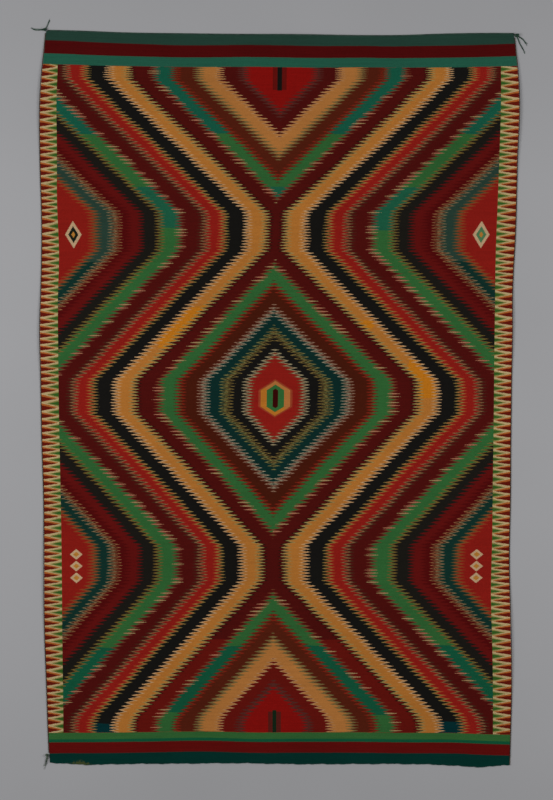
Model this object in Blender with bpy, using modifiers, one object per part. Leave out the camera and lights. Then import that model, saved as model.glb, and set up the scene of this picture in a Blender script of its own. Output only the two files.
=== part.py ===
"""A hand-woven wool blanket with twined edge cords and corner tassels, laid out flat.

Metres, +Z up. The origin is the middle of the underside, where the cloth lies on its surface.
+Y runs along the warp to the top end, and +X runs across to the right side.
"""

import math
from collections import namedtuple

import bmesh
import bpy
import numpy as np
from mathutils import Vector

# Driving dimensions
LENGTH = 2.130
WIDTH = 1.370
CLOTH_THICKNESS = 0.0025
CORD_DIAMETER = 0.003
GAP = 0.0003
CORD_END_GAP = 0.0018

# Fineness of the meshes
CELLS_ACROSS = 28
CELLS_ALONG = 42
BEVEL_RESOLUTION = 2
KNOT_SEGMENTS = 14
KNOT_RINGS = 8
TAIL_STEPS = 8
SHARP_ANGLE = math.radians(50)
WELD = 0.00001
DRAW_BACK_SHARE = 0.002

# How far each side stands out past its straight line, by the distance up from the middle
SideRow = namedtuple("SideRow", "up left_out right_out")
SIDES = (
    SideRow(1.071, -0.0128, 0.0018),
    SideRow(1.016, -0.0078, 0.0070),
    SideRow(0.946, -0.0006, 0.0140),
    SideRow(0.876, 0.0044, 0.0172),
    SideRow(0.696, 0.0047, 0.0114),
    SideRow(0.492, -0.0006, 0.0061),
    SideRow(0.317, 0.0018, -0.0026),
    SideRow(0.201, 0.0053, -0.0029),
    SideRow(0.055, 0.0024, -0.0055),
    SideRow(-0.119, -0.0006, -0.0078),
    SideRow(-0.294, -0.0061, -0.0090),
    SideRow(-0.468, -0.0072, -0.0122),
    SideRow(-0.643, -0.0078, -0.0084),
    SideRow(-0.847, -0.0148, -0.0055),
    SideRow(-0.963, -0.0186, -0.0084),
    SideRow(-1.065, -0.0230, -0.0113),
)

# How far each end stands out past its straight line, by the distance across from the middle
EndRow = namedtuple("EndRow", "across top_out bottom_out")
ENDS = (
    EndRow(-0.685, 0.0060, -0.0072),
    EndRow(-0.589, 0.0036, -0.0014),
    EndRow(-0.458, -0.0014, -0.0034),
    EndRow(-0.284, -0.0040, -0.0045),
    EndRow(-0.138, -0.0058, -0.0058),
    EndRow(0.065, -0.0072, -0.0029),
    EndRow(0.211, -0.0096, -0.0032),
    EndRow(0.356, -0.0090, -0.0035),
    EndRow(0.473, -0.0052, -0.0011),
    EndRow(0.604, -0.0031, 0.0053),
    EndRow(0.685, -0.0034, -0.0005),
)

# Low swells where slack cloth stands off the surface near its edges
Swell = namedtuple("Swell", "across up half_across half_up height")
SWELLS = (
    Swell(-0.66, 0.88, 0.24, 0.22, 0.0040),
    Swell(0.68, 0.84, 0.26, 0.26, 0.0045),
    Swell(-0.68, 0.20, 0.20, 0.20, 0.0035),
    Swell(0.68, 0.22, 0.18, 0.18, 0.0030),
    Swell(-0.68, -0.52, 0.20, 0.22, 0.0030),
    Swell(0.67, -0.70, 0.22, 0.24, 0.0035),
    Swell(0.10, 1.06, 0.30, 0.14, 0.0025),
)

# Each knot: its side and end, how far down the side from the corner it is tied, and its size.
# One tied at the corner itself, 0 along, sits out from the corner, and the others out from the side.
Knot = namedtuple("Knot", "name side end along_side length width height")
KNOTS = (
    Knot("top_left_tassel", -1, 1, 0.000, 0.012, 0.010, 0.009),
    Knot("top_right_tassel", 1, 1, 0.004, 0.017, 0.012, 0.010),
    Knot("bottom_left_tassel", -1, -1, 0.022, 0.013, 0.011, 0.009),
)

# Each tail leaves its knot at a heading, in degrees from +X, and turns evenly by bend on the way
Tail = namedtuple("Tail", "tassel heading bend length root tip")
TAILS = (
    Tail("top_left_tassel", 66.0, 22.0, 0.036, 0.0030, 0.0022),
    Tail("top_left_tassel", 176.0, -22.0, 0.046, 0.0050, 0.0016),
    Tail("top_right_tassel", -44.0, -40.0, 0.050, 0.0032, 0.0020),
    Tail("top_right_tassel", -64.0, 12.0, 0.060, 0.0034, 0.0016),
    Tail("bottom_left_tassel", -108.0, -24.0, 0.046, 0.0060, 0.0030),
)

# Colour, roughness and metallic value of each kind of piece
Finish = namedtuple("Finish", "colour roughness metallic")
WOOL = Finish((0.24, 0.05, 0.03, 1.0), 0.95, 0.0)
CORD_WOOL = Finish((0.02, 0.05, 0.04, 1.0), 0.95, 0.0)
TASSEL_WOOL = Finish((0.02, 0.06, 0.04, 1.0), 0.95, 0.0)

CORD_RADIUS = CORD_DIAMETER / 2
HALF_LENGTH = LENGTH / 2
HALF_WIDTH = WIDTH / 2


def reading(table, key, column, place):
    """The column's value at a place between rows, on a smooth curve through them."""
    keys = np.array([getattr(row, key) for row in table])
    values = np.array([getattr(row, column) for row in table])
    order = np.argsort(keys)
    keys = keys[order]
    values = values[order]
    slopes = np.gradient(values, keys)
    place = min(max(place, keys[0]), keys[-1])
    low = min(int(np.searchsorted(keys, place, side="right")) - 1, len(keys) - 2)
    step = keys[low + 1] - keys[low]
    t = (place - keys[low]) / step
    start = values[low] * (1 + 2 * t) * (1 - t) ** 2 + slopes[low] * step * t * (1 - t) ** 2
    end = values[low + 1] * t * t * (3 - 2 * t) + slopes[low + 1] * step * t * t * (t - 1)
    return float(start + end)


def cloth_place(u, v):
    """The place on the laid cloth of a point from -1 to 1 across and from -1 to 1 along."""
    left = -HALF_WIDTH - reading(SIDES, "up", "left_out", v * HALF_LENGTH)
    right = HALF_WIDTH + reading(SIDES, "up", "right_out", v * HALF_LENGTH)
    bottom = -HALF_LENGTH - reading(ENDS, "across", "bottom_out", u * HALF_WIDTH)
    top = HALF_LENGTH + reading(ENDS, "across", "top_out", u * HALF_WIDTH)
    x = left + (right - left) * (u + 1) / 2
    y = bottom + (top - bottom) * (v + 1) / 2
    return x, y


def hump(t):
    """A soft rise from 0 at -1 to 1 at 0 and back to 0 at 1."""
    return math.cos(t * math.pi / 2) ** 2 if abs(t) < 1 else 0.0


def lift(x, y):
    """How far the cloth's underside stands off the surface at a place."""
    return sum(
        swell.height
        * hump((x - swell.across) / swell.half_across)
        * hump((y - swell.up) / swell.half_up)
        for swell in SWELLS
    )


def clear_scene():
    for leftover in list(bpy.data.objects):
        bpy.data.objects.remove(leftover, do_unlink=True)


def new_collection(name):
    group = bpy.data.collections.new(name)
    bpy.context.scene.collection.children.link(group)
    return group


def move_to(thing, group):
    for holder in list(thing.users_collection):
        holder.objects.unlink(thing)
    group.objects.link(thing)


def give_finish(thing, finish):
    material = bpy.data.materials.new(thing.name + "_wool")
    material.use_nodes = True
    shader = material.node_tree.nodes["Principled BSDF"]
    shader.inputs["Base Color"].default_value = finish.colour
    shader.inputs["Roughness"].default_value = finish.roughness
    shader.inputs["Metallic"].default_value = finish.metallic
    thing.data.materials.clear()
    thing.data.materials.append(material)


def make_panel(group):
    """The woven cloth: a flat grid drawn out to the cloth's outline, then given its thickness."""
    bpy.ops.mesh.primitive_grid_add(
        x_subdivisions=CELLS_ACROSS, y_subdivisions=CELLS_ALONG, size=2
    )
    panel = bpy.context.active_object
    panel.name = "blanket_panel"
    for vertex in panel.data.vertices:
        x, y = cloth_place(vertex.co.x, vertex.co.y)
        vertex.co = (x, y, lift(x, y))
    wall = panel.modifiers.new("cloth_thickness", "SOLIDIFY")
    wall.thickness = CLOTH_THICKNESS
    wall.offset = 1.0
    wall.use_rim = True
    panel.data.shade_smooth()
    panel.data.set_sharp_from_angle(angle=SHARP_ANGLE)
    give_finish(panel, WOOL)
    move_to(panel, group)
    return panel


def tube_through(name, points, radii):
    """A closed tube along points, as a poly curve whose radius follows radii."""
    curve = bpy.data.curves.new(name, "CURVE")
    curve.dimensions = "3D"
    curve.bevel_depth = 1.0
    curve.bevel_resolution = BEVEL_RESOLUTION
    curve.use_fill_caps = True
    spline = curve.splines.new("POLY")
    spline.points.add(len(points) - 1)
    for spot, place, radius in zip(spline.points, points, radii):
        spot.co = (place[0], place[1], place[2], 1.0)
        spot.radius = radius
    thing = bpy.data.objects.new(name, curve)
    return thing


def knot_station(knot):
    """How far along the cloth a knot is tied, from -1 to 1."""
    return knot.end * (1 - knot.along_side / HALF_LENGTH)


def knot_reach(knot, direction, height):
    """How far a knot's surface lies from its middle, in a level direction and at a height."""
    half_length = knot.length / 2
    half_width = knot.width / 2
    level_reach = 1 / math.hypot(direction.x / half_length, direction.y / half_width)
    off_middle = 2 * height / knot.height - 1
    return level_reach * math.sqrt(max(1 - off_middle * off_middle, 0))


def knot_centre(knot):
    """Where a knot sits: just off the cloth, at its corner or on the side near it."""
    x, y = cloth_place(knot.side, knot_station(knot))
    at_corner = knot.along_side == 0
    out = Vector((knot.side, knot.end if at_corner else 0)).normalized()
    clear = knot_reach(knot, out, lift(x, y) + CLOTH_THICKNESS) + GAP
    return Vector((x + out.x * clear, y + out.y * clear, knot.height / 2))


def clear_of_knots(place):
    """Whether a cord may reach this place without running into a knot."""
    for knot in KNOTS:
        apart = place.xy - knot_centre(knot).xy
        if apart.length < knot_reach(knot, apart.normalized(), place.z) + CORD_END_GAP:
            return False
    return True


def drawn_back(points):
    """The points of a cord, with each end drawn back to just clear of the knot that it meets."""
    for tip, inner in ((0, 1), (-1, -2)):
        near = Vector(points[tip])
        far = Vector(points[inner])
        share = 0.0
        while not clear_of_knots(near.lerp(far, share)):
            share += DRAW_BACK_SHARE
        points[tip] = tuple(near.lerp(far, share))
    return points


def stations(start, end, cells):
    """Places from start to end along an edge: its two ends, and the panel's own cells between."""
    corners = [2 * cell / cells - 1 for cell in range(cells + 1)]
    return [start] + [corner for corner in corners if start < corner < end] + [end]


def edge_cord(name, edge_places, outward, group):
    """A cord that lies along an edge of the cloth, just off it, between the knots."""
    away = CORD_RADIUS + GAP
    points = []
    for u, v in edge_places:
        x, y = cloth_place(u, v)
        points.append((x + outward[0] * away, y + outward[1] * away, lift(x, y) + CORD_RADIUS))
    points = drawn_back(points)
    cord = tube_through(name, points, [CORD_RADIUS] * len(points))
    group.objects.link(cord)
    give_finish(cord, CORD_WOOL)
    return cord


def tail_route(start, tail):
    """Points and radii of one loose tail, lying on the surface as it turns and thins."""
    points = []
    radii = []
    place = Vector((start.x, start.y))
    step_length = tail.length / TAIL_STEPS
    for step in range(TAIL_STEPS + 1):
        share = step / TAIL_STEPS
        radius = (tail.root + (tail.tip - tail.root) * share) / 2
        points.append((place.x, place.y, radius))
        radii.append(radius)
        heading = math.radians(tail.heading + tail.bend * (share - 0.5))
        place = place + step_length * Vector((math.cos(heading), math.sin(heading)))
    return points, radii


def mesh_of_curve(thing, group):
    """A mesh object with a curve's shape and its caps joined to its sides. The curve goes."""
    group.objects.link(thing)
    bpy.context.view_layer.update()
    seen = thing.evaluated_get(bpy.context.evaluated_depsgraph_get())
    mesh = bpy.data.meshes.new_from_object(seen)
    solid = bpy.data.objects.new(thing.name + "_solid", mesh)
    solid.matrix_world = thing.matrix_world.copy()
    bpy.data.objects.remove(thing, do_unlink=True)
    shape = bmesh.new()
    shape.from_mesh(mesh)
    bmesh.ops.remove_doubles(shape, verts=shape.verts, dist=WELD)
    bmesh.ops.recalc_face_normals(shape, faces=shape.faces)
    shape.to_mesh(mesh)
    shape.free()
    solid.hide_render = True
    solid.display_type = "WIRE"
    group.objects.link(solid)
    return solid


def make_tassel(knot, group, cutters):
    """A knot of cord with its loose tails joined into it as one solid."""
    centre = knot_centre(knot)
    bpy.ops.mesh.primitive_uv_sphere_add(
        segments=KNOT_SEGMENTS, ring_count=KNOT_RINGS, radius=0.5, location=(0, 0, 0)
    )
    tassel = bpy.context.active_object
    tassel.name = knot.name
    for vertex in tassel.data.vertices:
        vertex.co.x = centre.x + vertex.co.x * knot.length
        vertex.co.y = centre.y + vertex.co.y * knot.width
        vertex.co.z = centre.z + vertex.co.z * knot.height
    move_to(tassel, group)
    for number, tail in enumerate(t for t in TAILS if t.tassel == knot.name):
        points, radii = tail_route(centre, tail)
        tube = tube_through(f"{knot.name}_tail_{number + 1}", points, radii)
        join = tassel.modifiers.new(f"tail_{number + 1}", "BOOLEAN")
        join.operation = "UNION"
        join.object = mesh_of_curve(tube, cutters)
    tassel.data.shade_smooth()
    tassel.data.set_sharp_from_angle(angle=SHARP_ANGLE)
    give_finish(tassel, TASSEL_WOOL)
    return tassel


def side_stations(side):
    """Places along a side for its cord, which runs to its knots, or to a corner that has none."""
    tied = [knot_station(knot) for knot in KNOTS if knot.side == side]
    low = max((place for place in tied if place < 0), default=-1)
    high = min((place for place in tied if place > 0), default=1)
    return [(side, v) for v in stations(low, high, CELLS_ALONG)]


def make_cords(group):
    top = [(u, 1) for u in stations(-1, 1, CELLS_ACROSS)]
    edge_cord("top_end_cord", top, (0, 1), group)
    edge_cord("left_side_cord", side_stations(-1), (-1, 0), group)
    edge_cord("right_side_cord", side_stations(1), (1, 0), group)


def main():
    clear_scene()
    blanket = new_collection("woven_blanket")
    cutters = new_collection("tail_shapes")
    make_panel(blanket)
    make_cords(blanket)
    for knot in KNOTS:
        make_tassel(knot, blanket, cutters)


main()
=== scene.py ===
# %% [markdown]
# # A hand-woven wool blanket, laid out flat
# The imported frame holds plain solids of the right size: one sheet, three edge cords and three
# corner tassels. Each is replaced here by a finished piece that lies in the same place. The real
# blanket is a tapestry weave, in which the pattern is the yarn itself, so most of this lesson is
# about building the pattern in the order in which a weaver works: first where each warp and weft
# lies, then which colour each weft takes there.

# %% Load the frame
import math
from collections import namedtuple

import bpy
import numpy as np
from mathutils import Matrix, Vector


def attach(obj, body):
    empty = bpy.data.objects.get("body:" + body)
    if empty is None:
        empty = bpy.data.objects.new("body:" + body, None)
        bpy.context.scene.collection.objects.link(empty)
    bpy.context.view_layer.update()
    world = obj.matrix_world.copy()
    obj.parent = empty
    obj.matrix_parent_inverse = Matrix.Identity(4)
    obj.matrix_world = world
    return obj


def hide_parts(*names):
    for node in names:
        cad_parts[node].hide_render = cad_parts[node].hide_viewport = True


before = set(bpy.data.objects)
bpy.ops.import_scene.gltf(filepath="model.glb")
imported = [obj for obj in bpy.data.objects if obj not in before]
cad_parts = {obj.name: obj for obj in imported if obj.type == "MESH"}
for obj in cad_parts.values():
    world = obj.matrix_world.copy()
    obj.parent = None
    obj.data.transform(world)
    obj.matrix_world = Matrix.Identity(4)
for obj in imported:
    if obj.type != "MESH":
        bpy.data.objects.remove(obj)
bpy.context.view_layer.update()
bpy.ops.object.select_all(action="DESELECT")
print("nodes in the frame:", sorted(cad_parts))

# %% [markdown]
# ## Camera
# A blanket is photographed for a catalogue from straight above its middle, from far enough away
# that its four corners look square. A long lens does the same here. The picture's height and the
# size of one pixel on the cloth say how high the camera hangs.

# %% Camera
PICTURE_TALL = 800
PIXEL = 0.00291
LENS = 85.0
SENSOR = 36.0
PICTURE_MIDDLE = (-0.003, -0.003)

camera_height = PICTURE_TALL * PIXEL * LENS / SENSOR
bpy.ops.object.camera_add(location=(*PICTURE_MIDDLE, camera_height), rotation=(0.0, 0.0, 0.0))
camera = bpy.context.object
camera.name = "camera"
camera.data.sensor_fit = "VERTICAL"
camera.data.sensor_height = SENSOR
camera.data.lens = LENS
bpy.context.scene.camera = camera
print("camera height", round(camera_height, 3))

# %% [markdown]
# ## Short ways to add nodes
# Every finish below is a tree of shader nodes. Adding a node, setting its mode and joining its
# sockets takes four lines each time, so a small class does it in one call. A value may be a
# number, a colour or another node's output, and the class either sets the socket or links it.

# %% Node helper
def linear(colour):
    """A colour from 0 to 255, as it is read off a picture, in the light values Blender mixes."""
    shares = [value / 255 for value in colour]
    return tuple(s / 12.92 if s <= 0.04045 else ((s + 0.055) / 1.055) ** 2.4 for s in shares) + (1.0,)


class Nodes:
    """One material's node tree, with a short method for each kind of node used here."""

    def __init__(self, name):
        self.material = bpy.data.materials.new(name)
        self.material.use_nodes = True
        self.tree = self.material.node_tree
        self.shader = self.tree.nodes["Principled BSDF"]

    def put(self, socket, value):
        if isinstance(value, bpy.types.NodeSocket):
            self.tree.links.new(value, socket)
        else:
            socket.default_value = value

    def calc(self, operation, *values):
        node = self.tree.nodes.new("ShaderNodeMath")
        node.operation = operation
        for socket, value in zip(node.inputs, values):
            self.put(socket, value)
        return node.outputs[0]

    def vector(self, operation, *values):
        node = self.tree.nodes.new("ShaderNodeVectorMath")
        node.operation = operation
        for socket, value in zip(node.inputs, values):
            self.put(socket, value)
        return node.outputs[0]

    def scaled(self, colour, brightness):
        node = self.tree.nodes.new("ShaderNodeVectorMath")
        node.operation = "SCALE"
        self.put(node.inputs["Vector"], colour)
        self.put(node.inputs["Scale"], brightness)
        return node.outputs[0]

    def joined(self, x, y, z):
        node = self.tree.nodes.new("ShaderNodeCombineXYZ")
        for socket, value in zip(node.inputs, (x, y, z)):
            self.put(socket, value)
        return node.outputs[0]

    def split(self, value):
        node = self.tree.nodes.new("ShaderNodeSeparateXYZ")
        self.put(node.inputs[0], value)
        return node.outputs[0], node.outputs[1], node.outputs[2]

    def mix(self, share, first, second):
        node = self.tree.nodes.new("ShaderNodeMix")
        node.data_type = "RGBA"
        self.put(node.inputs[0], share)
        self.put(node.inputs[6], first)
        self.put(node.inputs[7], second)
        return node.outputs[2]

    def span(self, value, low, high, out_low=0.0, out_high=1.0):
        node = self.tree.nodes.new("ShaderNodeMapRange")
        for socket, number in zip(node.inputs, (value, low, high, out_low, out_high)):
            self.put(socket, number)
        return node.outputs[0]

    def noise(self, place, scale, detail=2.0):
        node = self.tree.nodes.new("ShaderNodeTexNoise")
        self.put(node.inputs["Vector"], place)
        node.inputs["Scale"].default_value = scale
        node.inputs["Detail"].default_value = detail
        return node.outputs[0]

    def speckle(self, place):
        node = self.tree.nodes.new("ShaderNodeTexWhiteNoise")
        node.noise_dimensions = "3D"
        self.put(node.inputs["Vector"], place)
        return node.outputs["Value"]

    def bands(self, value, start, rows):
        """A colour ramp in hard steps: each row's colour runs until the row's own end."""
        node = self.tree.nodes.new("ShaderNodeValToRGB")
        ramp = node.color_ramp
        ramp.interpolation = "CONSTANT"
        whole = rows[-1].until - start
        begins = [0.0] + [(row.until - start) / whole for row in rows[:-1]]
        while len(ramp.elements) < len(rows):
            ramp.elements.new(1.0)
        for element, begin, row in zip(ramp.elements, begins, rows):
            element.position = begin
            element.color = linear(row.colour)[:3] + (row.lot,)
        self.put(node.inputs[0], self.span(value, start, rows[-1].until))
        return node.outputs["Color"], node.outputs["Alpha"]

    def object_place(self):
        return self.tree.nodes.new("ShaderNodeTexCoord").outputs["Object"]

    def relief(self, height, distance, strength=1.0):
        node = self.tree.nodes.new("ShaderNodeBump")
        node.inputs["Strength"].default_value = strength
        node.inputs["Distance"].default_value = distance
        self.put(node.inputs["Height"], height)
        self.put(self.shader.inputs["Normal"], node.outputs[0])


print("node helper ready")

# %% [markdown]
# ## Floor and studio light
# The blanket lies on plain pale paper under broad, soft lamps, so that its colours read true and
# its shadow is only a thin soft line. A sheet of paper is a flat grid. Two wide lamps on opposite
# sides and an even sky light the long cloth evenly, which one lamp alone can't do.

# %% Floor
FLOOR_SIZE = 9.0
FLOOR_DROP = 0.0002
PAPER = (150, 150, 152)
PAPER_MOTTLE = 0.03

bpy.ops.mesh.primitive_plane_add(size=FLOOR_SIZE, location=(0.0, 0.0, -FLOOR_DROP))
floor = bpy.context.object
floor.name = "floor"
paper = Nodes("pale_paper")
mottle = paper.noise(paper.object_place(), 1.3, 3.0)
paper_shade = paper.span(mottle, 0.3, 0.7, 1.0 - PAPER_MOTTLE, 1.0 + PAPER_MOTTLE)
paper.put(paper.shader.inputs["Base Color"], paper.scaled(linear(PAPER)[:3], paper_shade))
paper.shader.inputs["Roughness"].default_value = 0.9
paper.shader.inputs["Specular IOR Level"].default_value = 0.1
floor.data.materials.append(paper.material)
print("floor", FLOOR_SIZE, "m wide")

# %% Lamps
Lamp = namedtuple("Lamp", "name place size power")
LAMPS = (
    Lamp("left_lamp", (-2.7, 0.3, 2.7), 1.8, 90.0),
    Lamp("right_lamp", (2.7, 0.1, 2.8), 1.8, 78.0),
)
SKY = (0.985, 0.985, 1.0, 1.0)
SKY_STRENGTH = 0.24

world = bpy.data.worlds.new("studio")
world.use_nodes = True
world.node_tree.nodes["Background"].inputs["Color"].default_value = SKY
world.node_tree.nodes["Background"].inputs["Strength"].default_value = SKY_STRENGTH
bpy.context.scene.world = world
for lamp in LAMPS:
    aim = Vector(lamp.place).to_track_quat("Z", "Y").to_euler()
    bpy.ops.object.light_add(type="AREA", location=lamp.place, rotation=aim)
    bpy.context.object.name = lamp.name
    bpy.context.object.data.shape = "SQUARE"
    bpy.context.object.data.size = lamp.size
    bpy.context.object.data.energy = lamp.power
bpy.context.scene.view_settings.view_transform = "Standard"
print(len(LAMPS), "lamps")

# %% [markdown]
# ## The cloth's outline
# A hand-woven cloth isn't a rectangle: the weaver pulls some wefts tighter than others, so the
# sides wander by up to two centimetres. A short table says how far each side and end stands out
# from its straight line, and a smooth curve runs through the rows. A few swells, where slack cloth
# stands a few millimetres off the floor, are soft round humps. These are the frame's own sizes,
# repeated here because a finer mesh has to follow them.

# %% Outline tables
LENGTH = 2.130
WIDTH = 1.370
THICKNESS = 0.0025
HALF_LENGTH = LENGTH / 2
HALF_WIDTH = WIDTH / 2

SideRow = namedtuple("SideRow", "up left_out right_out")
SIDES = (
    SideRow(1.071, -0.0128, 0.0018),
    SideRow(1.016, -0.0078, 0.0070),
    SideRow(0.946, -0.0006, 0.0140),
    SideRow(0.876, 0.0044, 0.0172),
    SideRow(0.696, 0.0047, 0.0114),
    SideRow(0.492, -0.0006, 0.0061),
    SideRow(0.317, 0.0018, -0.0026),
    SideRow(0.201, 0.0053, -0.0029),
    SideRow(0.055, 0.0024, -0.0055),
    SideRow(-0.119, -0.0006, -0.0078),
    SideRow(-0.294, -0.0061, -0.0090),
    SideRow(-0.468, -0.0072, -0.0122),
    SideRow(-0.643, -0.0078, -0.0084),
    SideRow(-0.847, -0.0148, -0.0055),
    SideRow(-0.963, -0.0186, -0.0084),
    SideRow(-1.065, -0.0230, -0.0113),
)
EndRow = namedtuple("EndRow", "across top_out bottom_out")
ENDS = (
    EndRow(-0.685, 0.0060, -0.0072),
    EndRow(-0.589, 0.0036, -0.0014),
    EndRow(-0.458, -0.0014, -0.0034),
    EndRow(-0.284, -0.0040, -0.0045),
    EndRow(-0.138, -0.0058, -0.0058),
    EndRow(0.065, -0.0072, -0.0029),
    EndRow(0.211, -0.0096, -0.0032),
    EndRow(0.356, -0.0090, -0.0035),
    EndRow(0.473, -0.0052, -0.0011),
    EndRow(0.604, -0.0031, 0.0053),
    EndRow(0.685, -0.0034, -0.0005),
)
Swell = namedtuple("Swell", "across up half_across half_up height")
SWELLS = (
    Swell(-0.66, 0.88, 0.24, 0.22, 0.0040),
    Swell(0.68, 0.84, 0.26, 0.26, 0.0045),
    Swell(-0.68, 0.20, 0.20, 0.20, 0.0035),
    Swell(0.68, 0.22, 0.18, 0.18, 0.0030),
    Swell(-0.68, -0.52, 0.20, 0.22, 0.0030),
    Swell(0.67, -0.70, 0.22, 0.24, 0.0035),
    Swell(0.10, 1.06, 0.30, 0.14, 0.0025),
)


def reading(table, key, column, places):
    """The column's values at many places, on a smooth curve through the table's rows."""
    rows = sorted(table, key=lambda row: getattr(row, key))
    keys = np.array([getattr(row, key) for row in rows])
    values = np.array([getattr(row, column) for row in rows])
    slopes = np.gradient(values, keys)
    places = np.clip(places, keys[0], keys[-1])
    low = np.minimum(np.searchsorted(keys, places, side="right") - 1, len(keys) - 2)
    step = keys[low + 1] - keys[low]
    t = (places - keys[low]) / step
    start = values[low] * (1 + 2 * t) * (1 - t) ** 2 + slopes[low] * step * t * (1 - t) ** 2
    end = values[low + 1] * t * t * (3 - 2 * t) + slopes[low + 1] * step * t * t * (t - 1)
    return start + end


def cloth_place(u, v):
    """Places on the laid cloth for points from -1 to 1 across and from -1 to 1 along."""
    left = -HALF_WIDTH - reading(SIDES, "up", "left_out", v * HALF_LENGTH)
    right = HALF_WIDTH + reading(SIDES, "up", "right_out", v * HALF_LENGTH)
    bottom = -HALF_LENGTH - reading(ENDS, "across", "bottom_out", u * HALF_WIDTH)
    top = HALF_LENGTH + reading(ENDS, "across", "top_out", u * HALF_WIDTH)
    return left + (right - left) * (u + 1) / 2, bottom + (top - bottom) * (v + 1) / 2


def hump(t):
    """A soft rise from 0 at -1 to 1 at 0 and back to 0 at 1."""
    return np.where(np.abs(t) < 1, np.cos(np.clip(t, -1, 1) * math.pi / 2) ** 2, 0.0)


def lift(x, y):
    """How far the cloth's underside stands off the floor."""
    rises = [s.height * hump((x - s.across) / s.half_across) * hump((y - s.up) / s.half_up) for s in SWELLS]
    return sum(rises)


corner = cloth_place(np.array([1.0]), np.array([1.0]))
print("top right corner", [round(float(value), 4) for value in corner])

# %% [markdown]
# ## Where the warps lie
# On the loom each warp is straight and each weft is level. Off the loom they lean a little, and
# the pattern leans with them. So the cloth gets its own map: a loom place, in metres, for each
# vertex. Across, the map runs from 0 at the middle warp to a fixed width at the inner line of the
# side borders, wherever that line wanders to on the cloth. Along, it is the weft's height, less
# the rise by which wefts near the two ends bow with the end itself. Two short tables, read off
# the cloth every hand's breadth, hold the warps' places and the wefts' bows.

# %% Loom map tables
FIELD_HALF = 0.633
BORDER = 0.050

WarpRow = namedtuple("WarpRow", "up left middle right")
WARP_ROWS = (
    WarpRow(1.070, -0.639, 0.009, 0.649),
    WarpRow(0.969, -0.639, 0.009, 0.649),
    WarpRow(0.870, -0.642, 0.008, 0.649),
    WarpRow(0.725, -0.641, 0.005, 0.645),
    WarpRow(0.579, -0.641, -0.001, 0.640),
    WarpRow(0.419, -0.635, -0.008, 0.634),
    WarpRow(0.288, -0.638, -0.011, 0.632),
    WarpRow(0.143, -0.637, -0.008, 0.630),
    WarpRow(0.006, -0.636, -0.005, 0.629),
    WarpRow(-0.148, -0.633, -0.012, 0.627),
    WarpRow(-0.294, -0.630, -0.012, 0.625),
    WarpRow(-0.396, -0.628, -0.014, 0.624),
    WarpRow(-0.570, -0.626, -0.013, 0.620),
    WarpRow(-0.730, -0.625, -0.012, 0.624),
    WarpRow(-0.876, -0.623, -0.0125, 0.626),
    WarpRow(-0.972, -0.6225, -0.0125, 0.626),
    WarpRow(-1.070, -0.6225, -0.0125, 0.626),
)
BowRow = namedtuple("BowRow", "across top_rise bottom_rise")
BOWS = (
    BowRow(-0.70, 0.0160, -0.0014),
    BowRow(-0.60, 0.0125, -0.0006),
    BowRow(-0.49, 0.0076, 0.0),
    BowRow(-0.40, 0.0045, 0.0014),
    BowRow(-0.31, 0.0008, 0.0030),
    BowRow(-0.20, 0.0, 0.0035),
    BowRow(-0.05, 0.0004, 0.0006),
    BowRow(0.10, -0.0016, 0.0008),
    BowRow(0.24, -0.0026, 0.0),
    BowRow(0.33, -0.0034, -0.0002),
    BowRow(0.42, -0.0010, -0.0003),
    BowRow(0.51, 0.0004, -0.0014),
    BowRow(0.60, 0.0022, -0.0052),
    BowRow(0.70, 0.0050, -0.0080),
)
BowShare = namedtuple("BowShare", "up share")
BOW_SHARES = (
    BowShare(-1.00, 1.0),
    BowShare(-0.97, 0.8),
    BowShare(-0.90, 0.0),
    BowShare(0.88, 0.0),
    BowShare(0.96, 0.5),
    BowShare(0.99, 0.65),
    BowShare(1.03, 1.0),
)


def straight_reading(table, key, column, places):
    """The column's values at many places, on straight lines from row to row."""
    return np.interp(places, [getattr(row, key) for row in table], [getattr(row, column) for row in table])


def loom_place(x, y):
    """The loom places of points on the laid cloth."""
    edge_left = -HALF_WIDTH - reading(SIDES, "up", "left_out", y)
    edge_right = HALF_WIDTH + reading(SIDES, "up", "right_out", y)
    left = reading(WARP_ROWS, "up", "left", y)
    middle = reading(WARP_ROWS, "up", "middle", y)
    right = reading(WARP_ROWS, "up", "right", y)
    half = np.where(x < middle, middle - left, right - middle)
    across = FIELD_HALF * (x - middle) / half
    in_left = -FIELD_HALF - BORDER * (left - x) / (left - edge_left)
    in_right = FIELD_HALF + BORDER * (x - right) / (edge_right - right)
    across = np.where(x < left, in_left, np.where(x > right, in_right, across))
    top_rise = reading(BOWS, "across", "top_rise", x)
    bottom_rise = reading(BOWS, "across", "bottom_rise", x)
    rise = np.where(y > 0, top_rise, bottom_rise) * straight_reading(BOW_SHARES, "up", "share", y)
    return across, y - rise


print("loom map of", len(WARP_ROWS), "rows and", len(BOWS), "columns")

# %% [markdown]
# ## The cloth's mesh
# The sheet could be a cube squashed flat, but a real cloth has a face, a back and a soft edge that
# wanders. So a fine grid is drawn out to the outline, given ripples too low to see from above but
# plain in a raking view, nibbled along its worn lower end, and then thickened by Solidify, which
# adds the back and the rim as one closed skin. The grid's cells are about 7 by 9 mm: the weave is
# far finer than that and is left to the finish.

# %% Blanket mesh
CELLS_ACROSS = 200
CELLS_ALONG = 240
RIPPLE = 0.0007
NIBBLE = 0.0022
NIBBLE_REACH = 0.03
Wave = namedtuple("Wave", "across along start share")
RIPPLES = (
    Wave(9.0, 3.0, 0.3, 0.35),
    Wave(-4.0, 11.0, 1.1, 0.30),
    Wave(17.0, -6.0, 2.4, 0.20),
    Wave(6.0, 23.0, 0.8, 0.15),
)
NIBBLES = (
    Wave(61.0, 0.0, 0.5, 0.30),
    Wave(143.0, 0.0, 2.0, 0.30),
    Wave(287.0, 0.0, 1.2, 0.25),
    Wave(391.0, 0.0, 4.1, 0.15),
)


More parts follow.
